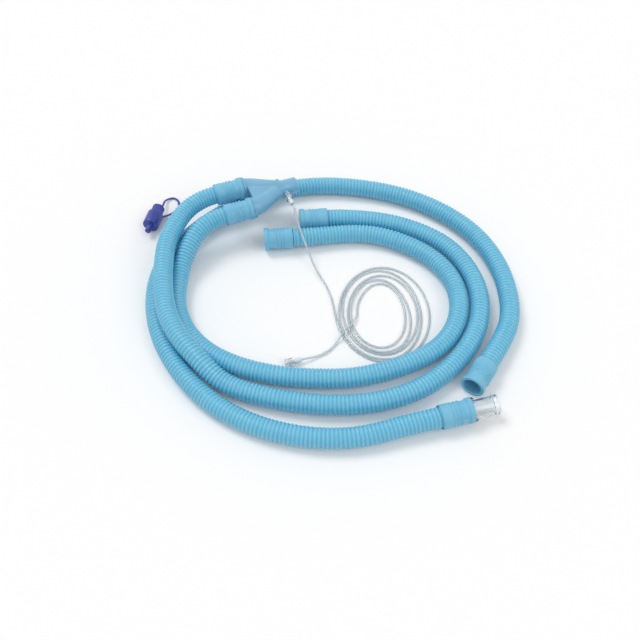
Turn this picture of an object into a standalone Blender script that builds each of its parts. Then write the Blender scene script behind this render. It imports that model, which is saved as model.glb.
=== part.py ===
"""Anesthesia breathing circuit, coiled flat on a table. Metres, +Z up.

The hoses wind round one middle, the ring's centre. The Y-piece lies level across
the outer hose at the back left, its two arms pointing left and its patient port right.
"""
import math

import bmesh
import bpy
import numpy as np
from mathutils import Matrix, Vector

COLLECTION = "anesthesia_breathing_circuit"
MM = 0.001

# Fits
SEAT_GAP = 0.0003            # between faces that meet
TAPER_GAP = 0.0004           # between a male taper and the cuff round it

# Breathing hose
HOSE_RADIUS = 0.0125         # over the crests of the corrugation
HOSE_SPACING = 0.030         # between the points of a hose's tube
HOSE_RESOLUTION = 4
SOCKET_RUN = 0.004           # how far a hose stays straight past its cuff

# Male 22 mm taper, on the Y-piece's arms and on the bag connector
MALE_ROOT_RADIUS = 0.0109
MALE_TIP_RADIUS = 0.0106
TAPER_END_GAP = 0.0010       # between a male taper's tip and the bottom of the cuff's mouth
GAS_BORE_RADIUS = 0.0092

# Soft cuff, measured from its mouth to its hose end
CUFF_MOUTH_DEPTH = 0.0200
MALE_LENGTH = CUFF_MOUTH_DEPTH - TAPER_END_GAP
CUFF_WEB = 0.0030
CUFF_SOCKET_DEPTH = 0.0150
CUFF_WALL = 0.0013
CUFF_BEAD_RADIUS = 0.0150
CUFF_BEAD_LENGTH = 0.0055
CUFF_RIB_RADIUS = 0.0144
CUFF_RIB_WIDTH = 0.0025
CUFF_SEGMENTS = 20
SOCKET_RADIUS = HOSE_RADIUS + 0.0006
CUFF_LENGTH = CUFF_MOUTH_DEPTH + CUFF_WEB + CUFF_SOCKET_DEPTH

# Y-piece, in its own frame: +X to the patient, +Y across, arms towards -X
Y_ARM_SPACING = 0.043
Y_FAN_LENGTH = 0.044
Y_LIMB_RADIUS = 0.0125
Y_NECK_RADIUS = 0.0108
Y_NECK_BORE = 0.0070
Y_NECK_OFFSET = 0.0030
Y_BORE_END = 0.95            # share of the fan where the limbs' bores open into the port
Y_LIMB_POINTS = 10
Y_LIMB_RESOLUTION = 6
Y_COLLAR_RADIUS = 0.0145
Y_COLLAR_WIDTH = 0.0030
Y_STEM_LENGTH = 0.026
Y_STEM_ROOT_RADIUS = 0.0116
Y_STEM_TIP_RADIUS = 0.0109
Y_PORT_RADIUS = 0.0077
Y_PORT_RUN = Y_STEM_LENGTH + 0.0140
Y_STRAIGHTNESS = 0.65        # 1 is a straight limb, 0 one that leaves and arrives level
Y_WEB_THICKNESS = 0.0190
Y_NOTCH_DEPTH = 0.0020
Y_LIFT = 0.0410              # height of its axis, on top of the outer hose
Y_HEADING = math.radians(22)
Y_PLACE = (-0.1015, 0.1575)

# Luer boss and fitting, measured out from the boss's mouth
BOSS_REACH = 0.0203          # from the stem's axis to the mouth
BOSS_ALONG = 0.0060          # from the stem's root to the boss
BOSS_RADIUS = 0.0036
BOSS_BORE = 0.00215
BOSS_RUN = BOSS_REACH + 0.0100
LUER_TIP_RADIUS = 0.00185
LUER_TIP_LENGTH = 0.0060
LUER_FLANGE_RADIUS = 0.0035
LUER_FLANGE_WIDTH = 0.0015
LUER_NECK_RADIUS = 0.0024
LUER_NECK_LENGTH = 0.0045
LUER_GRIP_RADIUS = 0.0034
LUER_GRIP_LENGTH = 0.0080
LUER_SOCKET_DEPTH = 0.0060
LUER_BORE = 0.0008
COLLAR_RADIUS = 0.0052
COLLAR_INNER = 0.0041
COLLAR_REACH = 0.0050        # how far the collar runs over the boss
COLLAR_END_WALL = 0.0020
LUER_SEGMENTS = 14

# Gas sampling line
LINE_RADIUS = 0.0014
LINE_SPACING = 0.0075
COIL_CENTRE = (0.075, -0.010)
COIL_OUTER = (0.062, 0.082)
COIL_BAND = 0.038
COIL_HEIGHT = 0.0070
COIL_EDGE = 0.0015
COIL_SEGMENTS = 40

# Bag connector, two male tapers with a flange between them
FLANGE_RADIUS = 0.0143
FLANGE_WIDTH = 0.0030
BAG_NECK_LENGTH = 0.0280
BAG_BEAD_RADIUS = 0.0119

# Port plug, measured from its block end to its tip
PLUG_PLACE = (-0.231, 0.168)
PLUG_HEADING = math.radians(258)
PLUG_BLOCK_RADIUS = 0.0085
PLUG_BLOCK_LENGTH = 0.0140
PLUG_BODY_RADIUS = 0.0112
PLUG_BODY_TIP_RADIUS = 0.0106
PLUG_BODY_LENGTH = 0.0220
PLUG_TIP_RADIUS = 0.00425
PLUG_TIP_LENGTH = 0.0110
PLUG_RECESS_RADIUS = 0.0060
PLUG_RECESS_DEPTH = 0.0060
PLUG_SEGMENTS = 26
STRAP_RADIUS = 0.0011

# Ring's centre in the part's frame, so that the frame's origin is under the middle of the box
RING_CENTRE = (0.00055, -0.00516)

# Routes of the hoses, in millimetres from the ring's centre, in the order of the gas's way out
INSPIRATORY_ROUTE = [
    (-152.5, 111, 39.5), (-166, 97.5, 35.5), (-176, 80, 29), (-184.5, 56, 20.5),
    (-188, 30, 14.5), (-187, -2, 12.5),
    (-172, -46, 12.5), (-142, -81, 12.5), (-103, -103, 12.5), (-67, -114, 12.5), (-32, -119.5, 12.5),
    (0, -121, 12.5), (33, -119.5, 12.5), (67, -112, 12.5), (101, -99, 12.5), (137, -77, 12.5),
    (162, -43, 12.5), (171, -2, 12.5), (163, 40, 12.5), (138, 76, 12.5), (104, 100, 12.5),
    (67, 114, 12.5), (30, 116, 12.5), (-4, 111.5, 13.5)]
EXPIRATORY_ROUTE = [
    (-167.5, 151.5, 40.5), (-181, 138.5, 40), (-190.5, 122.5, 39.5), (-198, 101, 39.2),
    (-203.5, 80, 38.7), (-205, 58, 38.2), (-204, 30, 37), (-200.5, -2, 35.3),
    (-187, -50, 34.2), (-159.5, -91.5, 30.4), (-142.5, -108.5, 24.6), (-122.8, -124.5, 16.2),
    (-82, -142, 12.5), (-41, -152, 12.5), (0, -157, 12.5), (42, -156, 12.5), (86, -146, 12.5),
    (127, -125, 12.5), (162, -92, 12.5), (188, -48, 12.5), (197.5, 0, 12.5), (189, 50, 12.5),
    (163, 94, 12.5), (124, 123, 12.5), (83, 139, 12.5), (44, 144, 13.5)]
BAG_ROUTE = [
    (215, -68, 13.7), (230, -35, 12.8), (235, 0, 12.5), (228, 61, 12.5), (203, 117, 12.5),
    (161, 161, 12.5), (110, 191, 12.5), (55, 207, 12.5), (0, 212, 12.5), (-54, 204, 12.5),
    (-104, 182, 12.5), (-147, 149, 12.5), (-184, 107, 12.5), (-210, 57, 12.5), (-214.3, 1, 12.5),
    (-201, -55, 12.5), (-175.5, -103, 12.5), (-141, -144, 12.5), (-99, -174, 12.5),
    (-51, -193, 12.5), (0, -201, 12.6), (48, -197.5, 12.9), (88, -186.5, 13.8)]

# Cuffs on the floor: the middle of the hose end, in millimetres from the ring's centre, and the
# heading of the way from there to the mouth, in degrees
MACHINE_CUFF_INSPIRATORY = (-42, 106.5, 185)
MACHINE_CUFF_EXPIRATORY = (5, 143, 184)
BAG_CUFF_A = (193, -103, 236)
BAG_CUFF_B = (131, -175.5, 15)

# The sampling line's two leads, from the fitting to the coil, in millimetres from the ring's centre
PATIENT_LEAD_ROUTE = [
    (-38, 127, 37), (-33, 111, 31.5), (-26, 92, 24), (-17, 72, 12), (-9, 55, 5), (0, 39, 2.6),
    (8, 25, 2.8)]
MONITOR_LEAD_ROUTE = [
    (-16, -84, 4), (-3, -77, 2.6), (7, -66, 2.2), (14, -55, 2.6)]
MONITOR_HUB = (-28, -88.5, 197)

# The strap's loop, in millimetres from the ring's centre, from the plug's block to its body
STRAP_ROUTE = [
    (-231, 165, 9), (-227, 174, 9), (-226, 186, 6), (-222, 195, 2.5), (-215, 198, 1.3),
    (-208.5, 193, 1.2), (-206, 184, 1.2), (-208, 174, 1.5), (-214, 165, 3), (-221, 157, 6),
    (-230, 150, 9)]


# Helpers

def clear_scene():
    for item in list(bpy.data.objects):
        bpy.data.objects.remove(item, do_unlink=True)


def collection(name):
    group = bpy.data.collections.new(name)
    bpy.context.scene.collection.children.link(group)
    return group


def material(name, colour, roughness, alpha=1.0):
    made = bpy.data.materials.new(name)
    made.use_nodes = True
    shader = made.node_tree.nodes["Principled BSDF"]
    shader.inputs["Base Color"].default_value = (*colour, 1.0)
    shader.inputs["Roughness"].default_value = roughness
    shader.inputs["Metallic"].default_value = 0.0
    shader.inputs["Alpha"].default_value = alpha
    return made


def add_object(name, data, group):
    made = bpy.data.objects.new(name, data)
    group.objects.link(made)
    return made


def from_ring(x, y, z):
    """A place given in millimetres from the ring's centre, in the part's frame."""
    return Vector((RING_CENTRE[0] + x * MM, RING_CENTRE[1] + y * MM, z * MM))


def heading(degrees):
    angle = math.radians(degrees)
    return Vector((math.cos(angle), math.sin(angle), 0.0))


def smooth_curve(points, spacing, start=None, end=None):
    """Points about `spacing` apart on the cubic spline through the given points.

    `start` and `end` are the unit directions that it leaves and arrives with, if any.
    """
    knots = np.array([tuple(p) for p in points], float)
    steps = np.linalg.norm(np.diff(knots, axis=0), axis=1)
    at = np.concatenate([[0.0], np.cumsum(steps)])
    count = len(knots)
    system = np.eye(count)
    right = np.zeros_like(knots)
    for i in range(1, count - 1):
        before, after = steps[i - 1], steps[i]
        system[i, i - 1:i + 2] = (before, 2 * (before + after), after)
        right[i] = 6 * ((knots[i + 1] - knots[i]) / after - (knots[i] - knots[i - 1]) / before)
    if start is not None:
        system[0, :2] = (2 * steps[0], steps[0])
        right[0] = 6 * ((knots[1] - knots[0]) / steps[0] - np.array(start))
    if end is not None:
        system[-1, -2:] = (steps[-1], 2 * steps[-1])
        right[-1] = 6 * (np.array(end) - (knots[-1] - knots[-2]) / steps[-1])
    bend = np.linalg.solve(system, right)
    dense = np.linspace(0.0, at[-1], 40 * count)
    i = np.clip(np.searchsorted(at, dense, side="right") - 1, 0, count - 2)
    h = steps[i][:, None]
    a = (at[i + 1] - dense)[:, None]
    b = (dense - at[i])[:, None]
    path = ((bend[i] * a ** 3 + bend[i + 1] * b ** 3) / (6 * h)
            + (knots[i] / h - bend[i] * h / 6) * a
            + (knots[i + 1] / h - bend[i + 1] * h / 6) * b)
    run = np.concatenate([[0.0], np.cumsum(np.linalg.norm(np.diff(path, axis=0), axis=1))])
    wanted = np.linspace(0.0, run[-1], max(2, round(run[-1] / spacing) + 1))
    return [Vector([np.interp(w, run, path[:, axis]) for axis in range(3)]) for w in wanted]


def tube(name, points, radius, resolution, group, factors=None, closed=False):
    """A round tube along the points, as a curve with a bevel and filled caps."""
    curve = bpy.data.curves.new(name, "CURVE")
    curve.dimensions = "3D"
    curve.bevel_depth = radius
    curve.bevel_resolution = resolution
    curve.use_fill_caps = True
    spline = curve.splines.new("POLY")
    spline.points.add(len(points) - 1)
    spline.use_cyclic_u = closed
    for i, point in enumerate(points):
        spline.points[i].co = (*point, 1.0)
        spline.points[i].radius = factors[i] if factors else 1.0
    return add_object(name, curve, group)


def turned(name, profile, segments, group):
    """A closed section (radius, height) turned about Z. It runs down its outer side."""
    mesh = bpy.data.meshes.new(name)
    count = len(profile)
    edges = [(i, (i + 1) % count) for i in range(count)]
    mesh.from_pydata([(r, 0.0, z) for r, z in profile], edges, [])
    made = add_object(name, mesh, group)
    screw = made.modifiers.new("turn", "SCREW")
    screw.steps = segments
    screw.render_steps = segments
    screw.use_merge_vertices = True
    screw.merge_threshold = 0.00001
    return made


def solid_turned(name, profile, segments, group):
    """As turned, for a section whose first and last points lie on the axis."""
    mesh = bpy.data.meshes.new(name)
    edges = [(i, i + 1) for i in range(len(profile) - 1)]
    mesh.from_pydata([(r, 0.0, z) for r, z in profile], edges, [])
    made = add_object(name, mesh, group)
    screw = made.modifiers.new("turn", "SCREW")
    screw.steps = segments
    screw.render_steps = segments
    screw.use_merge_vertices = True
    screw.merge_threshold = 0.00001
    return made


def stand(item, origin, direction):
    """Put an object's own Z along the direction, with its origin at the given place."""
    turn = Vector(direction).to_track_quat("Z", "Y").to_matrix().to_4x4()
    item.matrix_world = Matrix.Translation(origin) @ turn


def plain_mesh(item, group):
    """The object's evaluated shape as a welded mesh, in world space; the object is removed."""
    bpy.context.view_layer.update()
    evaluated = item.evaluated_get(bpy.context.evaluated_depsgraph_get())
    mesh = bpy.data.meshes.new_from_object(evaluated)
    mesh.transform(item.matrix_world)
    work = bmesh.new()
    work.from_mesh(mesh)
    bmesh.ops.remove_doubles(work, verts=work.verts, dist=0.00001)
    bmesh.ops.recalc_face_normals(work, faces=work.faces)
    work.to_mesh(mesh)
    work.free()
    name = item.name
    bpy.data.objects.remove(item, do_unlink=True)
    return add_object(name, mesh, group)


def combine(target, others, operation, group):
    """Join all the others to the target, or cut them all from it, in one EXACT Boolean."""
    tools = bpy.data.collections.new(f"{target.name}_{operation.lower()}")
    group.children.link(tools)
    for other in others:
        tools.objects.link(other)
        other.hide_render = True
        other.display_type = "WIRE"
    step = target.modifiers.new(operation.lower(), "BOOLEAN")
    step.operation = operation
    step.solver = "EXACT"
    step.operand_type = "COLLECTION"
    step.collection = tools


def finish_round(item, colour, sharp=35.0):
    """Give a finished object its material and smooth shading with crisp edges."""
    item.data.materials.clear()
    item.data.materials.append(colour)
    if item.type == "MESH":
        item.data.shade_smooth()
        item.data.set_sharp_from_angle(angle=math.radians(sharp))


# Y-piece

def y_limb_middle(t, side):
    """The centre line of one limb, from its arm at t=0 to the neck at t=1."""
    ease = Y_STRAIGHTNESS * t + (1 - Y_STRAIGHTNESS) * t * t * (3 - 2 * t)
    half = Y_ARM_SPACING / 2
    return Vector((t * Y_FAN_LENGTH, side * (half + (Y_NECK_OFFSET - half) * ease), 0.0))


def y_limb(name, side, radii, reach, end, group):
    """One limb's tube, or its bore, from `reach` outside the arm's root to a share of the fan."""
    start_radius, end_radius = radii
    share = [end * i / (Y_LIMB_POINTS - 1) for i in range(Y_LIMB_POINTS)]
    points = [y_limb_middle(t, side) for t in share]
    factors = [1 + (end_radius / start_radius - 1) * t for t in share]
    points.insert(0, points[0] - Vector((reach, 0.0, 0.0)))
    factors.insert(0, 1.0)
    return tube(name, points, start_radius, Y_LIMB_RESOLUTION, group, factors)


def y_web(group):
    """The flat web that fills the fan between the limbs, with a round notch at the arms."""
    curve = bpy.data.curves.new("web", "CURVE")
    curve.dimensions = "2D"
    curve.fill_mode = "BOTH"
    curve.extrude = Y_WEB_THICKNESS / 2
    reach = Y_ARM_SPACING / 2
    outline = [y_limb_middle(i / 6, 1) for i in range(7)]
    outline += [y_limb_middle(i / 6, -1) for i in range(6, -1, -1)]
    notch = [Vector((Y_NOTCH_DEPTH * math.cos(a), -reach * 0.9 * math.cos(a + math.pi / 2), 0.0))
             for a in np.linspace(-math.pi / 2, math.pi / 2, 9)]
    outline += notch
    spline = curve.splines.new("POLY")
    spline.points.add(len(outline) - 1)
    spline.use_cyclic_u = True
    for point, place in zip(spline.points, outline):
        point.co = (*place, 1.0)
    return add_object("web", curve, group)


def y_arm(name, side, group):
    """A male taper with the collar that stops its cuff."""
    inner = GAS_BORE_RADIUS * 0.5
    profile = [(inner, 0.0006), (Y_COLLAR_RADIUS - 0.0006, 0.0006), (Y_COLLAR_RADIUS, 0.0),
               (Y_COLLAR_RADIUS, -Y_COLLAR_WIDTH),
               (MALE_ROOT_RADIUS, -Y_COLLAR_WIDTH),
               (MALE_TIP_RADIUS, -Y_COLLAR_WIDTH - MALE_LENGTH),
               (inner, -Y_COLLAR_WIDTH - MALE_LENGTH)]
    made = turned(name, profile, CUFF_SEGMENTS, group)
    stand(made, (0.0, side * Y_ARM_SPACING / 2, 0.0), (1.0, 0.0, 0.0))
    return made


def y_stem(group):
    """The patient port's tube, male outside and female inside, with its stop collar."""
    end = Y_STEM_LENGTH
    profile = [(0.0, end), (Y_STEM_TIP_RADIUS, end), (Y_STEM_ROOT_RADIUS, 0.003),
               (Y_COLLAR_RADIUS, 0.003), (Y_COLLAR_RADIUS, 0.0), (0.0, -0.004)]
    made = solid_turned("stem", profile, CUFF_SEGMENTS, group)
    stand(made, (Y_FAN_LENGTH - 0.002, 0.0, 0.0), (1.0, 0.0, 0.0))
    return made


def y_boss(group):
    profile = [(0.0, BOSS_REACH), (BOSS_RADIUS, BOSS_REACH), (BOSS_RADIUS, BOSS_REACH - 0.007),
               (BOSS_RADIUS + 0.0009, BOSS_REACH - 0.009), (BOSS_RADIUS + 0.0009, 0.0085),
               (0.0, 0.0085)]
    made = solid_turned("boss", profile, LUER_SEGMENTS, group)
    stand(made, (Y_FAN_LENGTH + BOSS_ALONG, 0.0, 0.0), (0.0, -1.0, 0.0))
    return made


def y_frame():
    """The Y-piece's place: its arm roots at Y_PLACE, its axis level."""
    place = from_ring(Y_PLACE[0] / MM, Y_PLACE[1] / MM, Y_LIFT / MM)
    return Matrix.Translation(place) @ Matrix.Rotation(Y_HEADING, 4, "Z")


def make_y_piece(parts, cutters, colour):
    limb = (Y_LIMB_RADIUS, Y_NECK_RADIUS)
    bore = (GAS_BORE_RADIUS, Y_NECK_BORE)
    body = plain_mesh(y_limb("y_piece", 1, limb, Y_COLLAR_WIDTH / 2, 1.0, parts), parts)
    joined = [y_limb("limb_b", -1, limb, Y_COLLAR_WIDTH / 2, 1.0, cutters),
              y_web(cutters), y_arm("arm_a", 1, cutters), y_arm("arm_b", -1, cutters),
              y_stem(cutters), y_boss(cutters)]
    joined = [plain_mesh(item, cutters) for item in joined]
    reach = Y_COLLAR_WIDTH + MALE_LENGTH + 0.005
    port = solid_turned("port", [(0.0, Y_PORT_RUN), (Y_PORT_RADIUS, Y_PORT_RUN),
                                 (Y_PORT_RADIUS * 0.96, 0.0),
                                 (0.0, 0.0)], CUFF_SEGMENTS, cutters)
    stand(port, (Y_FAN_LENGTH - 0.004, 0.0, 0.0), (1.0, 0.0, 0.0))
    luer = solid_turned("luer", [(0.0, BOSS_RUN), (BOSS_BORE, BOSS_RUN), (BOSS_BORE, 0.002),
                                 (0.0, 0.002)], LUER_SEGMENTS, cutters)
    stand(luer, (Y_FAN_LENGTH + BOSS_ALONG, 0.0, 0.0), (0.0, -1.0, 0.0))
    cut = [y_limb("bore_a", 1, bore, reach, Y_BORE_END, cutters),
           y_limb("bore_b", -1, bore, reach, Y_BORE_END, cutters), port, luer]
    cut = [plain_mesh(item, cutters) for item in cut]
    place = y_frame()
    for item in [body] + joined + cut:
        item.data.transform(place)
    combine(body, joined, "UNION", cutters)
    combine(body, cut, "DIFFERENCE", cutters)
    body = plain_mesh(body, parts)
    finish_round(body, colour)


# Cuffs and connector

def cuff_profile():
    """A cuff's section, from its mouth at height 0 to its hose end."""
    end = CUFF_LENGTH
    sleeve = SOCKET_RADIUS + CUFF_WALL
    grip = MALE_ROOT_RADIUS + TAPER_GAP + CUFF_WALL + 0.0006
    web = CUFF_MOUTH_DEPTH + CUFF_WEB
    rib = CUFF_MOUTH_DEPTH * 0.60
    return [(sleeve, end), (sleeve, web), (grip, web - 0.002),
            (grip, rib + CUFF_RIB_WIDTH + 0.001), (CUFF_RIB_RADIUS, rib + CUFF_RIB_WIDTH),
            (CUFF_RIB_RADIUS, rib), (grip, rib - 0.001), (grip, CUFF_BEAD_LENGTH + 0.001),
            (CUFF_BEAD_RADIUS, CUFF_BEAD_LENGTH), (CUFF_BEAD_RADIUS, 0.0),
            (MALE_ROOT_RADIUS + TAPER_GAP, 0.0), (MALE_TIP_RADIUS + TAPER_GAP, CUFF_MOUTH_DEPTH),
            (GAS_BORE_RADIUS, CUFF_MOUTH_DEPTH), (GAS_BORE_RADIUS, web),
            (SOCKET_RADIUS, web), (SOCKET_RADIUS, end)]


def make_cuff(name, mouth, towards_hose, parts, colour):
    cuff = turned(name, cuff_profile(), CUFF_SEGMENTS, parts)
    stand(cuff, mouth, towards_hose)
    finish_round(cuff, colour)


def floor_cuff(place):
    """The mouth, and the way to the hose, of a cuff that lies on the floor."""
    x, y, degrees = place
    out = heading(degrees)
    hose_end = from_ring(x, y, CUFF_BEAD_RADIUS / MM)
    return hose_end + out * CUFF_LENGTH, -out


def y_cuff(side):
    """The mouth, and the way to the hose, of a cuff on one of the Y-piece's arms."""
    place = y_frame()
    away = place.to_3x3() @ Vector((-1.0, 0.0, 0.0))
    root = place @ Vector((-Y_COLLAR_WIDTH - SEAT_GAP, side * Y_ARM_SPACING / 2, 0.0))
    return root, away


def straight_end(place, out, inside, outside):
    """The two ends of the straight stretch that leaves a socket: its seat and its free end."""
    return place + out * inside, place + out * outside


def hose_end(cuff):
    mouth, to_hose = cuff
    seat = CUFF_LENGTH - CUFF_SOCKET_DEPTH + SEAT_GAP
    return straight_end(mouth, to_hose, seat, CUFF_LENGTH + SOCKET_RUN)


def make_hose(name, start_cuff, route, end_cuff, parts, colour):
    """A hose from one cuff's socket to the other's, straight where a cuff holds it."""
    seat, free = hose_end(start_cuff)
    far_seat, far_free = hose_end(end_cuff)
    points = [free] + [from_ring(*p) for p in route] + [far_free]
    path = smooth_curve(points, HOSE_SPACING, start_cuff[1], -end_cuff[1])
    hose = tube(name, [seat] + path + [far_seat], HOSE_RADIUS, HOSE_RESOLUTION, parts)
    finish_round(hose, colour)


def make_bag_connector(cuff, parts, colour):
    """A clear double male connector, its flange against the bag cuff's mouth."""
    mouth, to_hose = cuff
    tip = MALE_LENGTH
    back = -FLANGE_WIDTH
    end = back - BAG_NECK_LENGTH
    profile = [(MALE_TIP_RADIUS, tip), (MALE_ROOT_RADIUS, 0.0), (FLANGE_RADIUS, 0.0),
               (FLANGE_RADIUS, back), (MALE_ROOT_RADIUS, back), (MALE_ROOT_RADIUS, end + 0.006),
               (BAG_BEAD_RADIUS, end + 0.004), (BAG_BEAD_RADIUS, end + 0.001),
               (BAG_BEAD_RADIUS - 0.001, end), (GAS_BORE_RADIUS, end), (GAS_BORE_RADIUS, tip)]
    connector = turned("bag_connector", profile, CUFF_SEGMENTS, parts)
    stand(connector, mouth - to_hose * SEAT_GAP, to_hose)
    finish_round(connector, colour)


# Gas sampling line

def luer_hub_profile():
    """The hub's section, measured out from the boss's mouth."""
    flange = SEAT_GAP
    neck = flange + LUER_FLANGE_WIDTH
    grip = neck + LUER_NECK_LENGTH
    end = grip + LUER_GRIP_LENGTH
    socket = LINE_RADIUS + SEAT_GAP
    return [(LUER_GRIP_RADIUS, end), (LUER_GRIP_RADIUS, grip), (LUER_NECK_RADIUS, grip - 0.0005),
            (LUER_NECK_RADIUS, neck), (LUER_FLANGE_RADIUS, neck), (LUER_FLANGE_RADIUS, flange),
            (LUER_TIP_RADIUS, flange), (LUER_TIP_RADIUS * 0.96, flange - LUER_TIP_LENGTH),
            (LUER_BORE, flange - LUER_TIP_LENGTH), (LUER_BORE, end - LUER_SOCKET_DEPTH),
            (socket, end - LUER_SOCKET_DEPTH), (socket, end)]


def luer_collar_profile():
    wall = SEAT_GAP + LUER_FLANGE_WIDTH + SEAT_GAP
    hole = LUER_NECK_RADIUS + SEAT_GAP
    return [(COLLAR_RADIUS, wall + COLLAR_END_WALL), (COLLAR_RADIUS, -COLLAR_REACH),
            (COLLAR_INNER, -COLLAR_REACH), (COLLAR_INNER, wall), (hole, wall),
            (hole, wall + COLLAR_END_WALL)]


LUER_LENGTH = SEAT_GAP + LUER_FLANGE_WIDTH + LUER_NECK_LENGTH + LUER_GRIP_LENGTH


def make_luer(end_name, mouth, out, parts, hub_colour, collar_colour):
    for name, profile, colour in (("luer_hub_", luer_hub_profile(), hub_colour),
                                  ("luer_collar_", luer_collar_profile(), collar_colour)):
        piece = turned(name + end_name, profile, LUER_SEGMENTS, parts)
        stand(piece, mouth, out)
        finish_round(piece, colour)


def patient_luer():
    """The boss's mouth on the Y-piece, and the way out of it."""
    place = y_frame()
    mouth = place @ Vector((Y_FAN_LENGTH + BOSS_ALONG, -BOSS_REACH, 0.0))
    return mouth, place.to_3x3() @ Vector((0.0, -1.0, 0.0))


def monitor_luer():
    """The free fitting lies on the floor on its collar, its line leaving backwards."""
    x, y, degrees = MONITOR_HUB
    out = heading(degrees)
    return from_ring(x, y, COLLAR_RADIUS / MM) + out * LUER_LENGTH, -out


def line_end(luer):
    mouth, out = luer
    seat = LUER_LENGTH - LUER_SOCKET_DEPTH + SEAT_GAP
    return straight_end(mouth, out, seat, LUER_LENGTH + SOCKET_RUN)


def coil_point(turn, inset):
    """A point of the oval `inset` inside the coil's outer edge."""
    x = (COIL_OUTER[0] - inset) * math.cos(turn)
    y = (COIL_OUTER[1] - inset) * math.sin(turn)
    return from_ring((COIL_CENTRE[0] + x) / MM, (COIL_CENTRE[1] + y) / MM, 0.0)


def make_coil(parts, colour):
    """One closed oval ring: the outer shape of the wound line."""
    work = bmesh.new()
    section = [(0.0, COIL_EDGE), (0.0, COIL_HEIGHT - COIL_EDGE), (COIL_EDGE, COIL_HEIGHT),
               (COIL_BAND - COIL_EDGE, COIL_HEIGHT), (COIL_BAND, COIL_HEIGHT - COIL_EDGE),
               (COIL_BAND, COIL_EDGE), (COIL_BAND - COIL_EDGE, 0.0), (COIL_EDGE, 0.0)]
    rings = []
    for i in range(COIL_SEGMENTS):
        turn = 2 * math.pi * i / COIL_SEGMENTS
        rings.append([work.verts.new(coil_point(turn, inset) + Vector((0.0, 0.0, height)))
                      for inset, height in section])
    for i in range(COIL_SEGMENTS):
        here, there = rings[i], rings[(i + 1) % COIL_SEGMENTS]
        for j in range(len(section)):
            k = (j + 1) % len(section)
            work.faces.new((here[j], there[j], there[k], here[k]))
    bmesh.ops.recalc_face_normals(work, faces=work.faces)
    mesh = bpy.data.meshes.new("sampling_line_coil")
    work.to_mesh(mesh)
    work.free()
    finish_round(add_object("sampling_line_coil", mesh, parts), colour)


def coil_meeting(place):
    """The point at the coil's outer edge that faces the given place, and the way out of it."""
    centre = from_ring(COIL_CENTRE[0] / MM, COIL_CENTRE[1] / MM, place[2] / MM)
    away = place - centre
    turn = math.atan2(away.y / COIL_OUTER[1], away.x / COIL_OUTER[0])
    edge = coil_point(turn, 0.0)
    edge.z = COIL_HEIGHT / 2
    normal = Vector((math.cos(turn) / COIL_OUTER[0], math.sin(turn) / COIL_OUTER[1], 0.0))
    normal.normalize()
    return edge + normal * SEAT_GAP, normal


def make_lead(name, luer, route, parts, colour):
    """The line's stretch from a fitting to the coil, ending face to face with its edge."""
    seat, free = line_end(luer)
    meeting, out = coil_meeting(from_ring(*route[-1]))
    points = [free] + [from_ring(*p) for p in route] + [meeting]
    path = smooth_curve(points, LINE_SPACING, luer[1], -out)
    lead = tube(name, [seat] + path, LINE_RADIUS, 2, parts)
    finish_round(lead, colour)


# Port plug

def make_plug(parts, cutters, colour):
    """A stepped plug lying on its side, with the strap's loop moulded to it."""
    step = -PLUG_BLOCK_LENGTH
    shoulder = step - PLUG_BODY_LENGTH
    tip = shoulder - PLUG_TIP_LENGTH
    profile = [(0.0, -PLUG_RECESS_DEPTH), (PLUG_RECESS_RADIUS, -PLUG_RECESS_DEPTH),
               (PLUG_RECESS_RADIUS, 0.0), (PLUG_BLOCK_RADIUS - 0.0008, 0.0),
               (PLUG_BLOCK_RADIUS, -0.0008), (PLUG_BLOCK_RADIUS, step),
               (PLUG_BODY_RADIUS, step), (PLUG_BODY_TIP_RADIUS, shoulder + 0.001),
               (PLUG_BODY_TIP_RADIUS - 0.001, shoulder), (PLUG_TIP_RADIUS, shoulder),
               (PLUG_TIP_RADIUS * 0.94, tip + 0.0006), (PLUG_TIP_RADIUS * 0.8, tip), (0.0, tip)]
    plug = solid_turned("port_plug", profile, PLUG_SEGMENTS, parts)
    along = Vector((math.cos(PLUG_HEADING), math.sin(PLUG_HEADING), 0.0))
    stand(plug, from_ring(PLUG_PLACE[0] / MM, PLUG_PLACE[1] / MM, PLUG_BODY_RADIUS / MM), -along)
    plug = plain_mesh(plug, parts)
    route = [from_ring(*p) for p in STRAP_ROUTE]
    strap = plain_mesh(tube("strap", smooth_curve(route, 0.004), STRAP_RADIUS, 2, cutters),
                       cutters)
    combine(plug, [strap], "UNION", cutters)
    finish_round(plain_mesh(plug, parts), colour)


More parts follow.
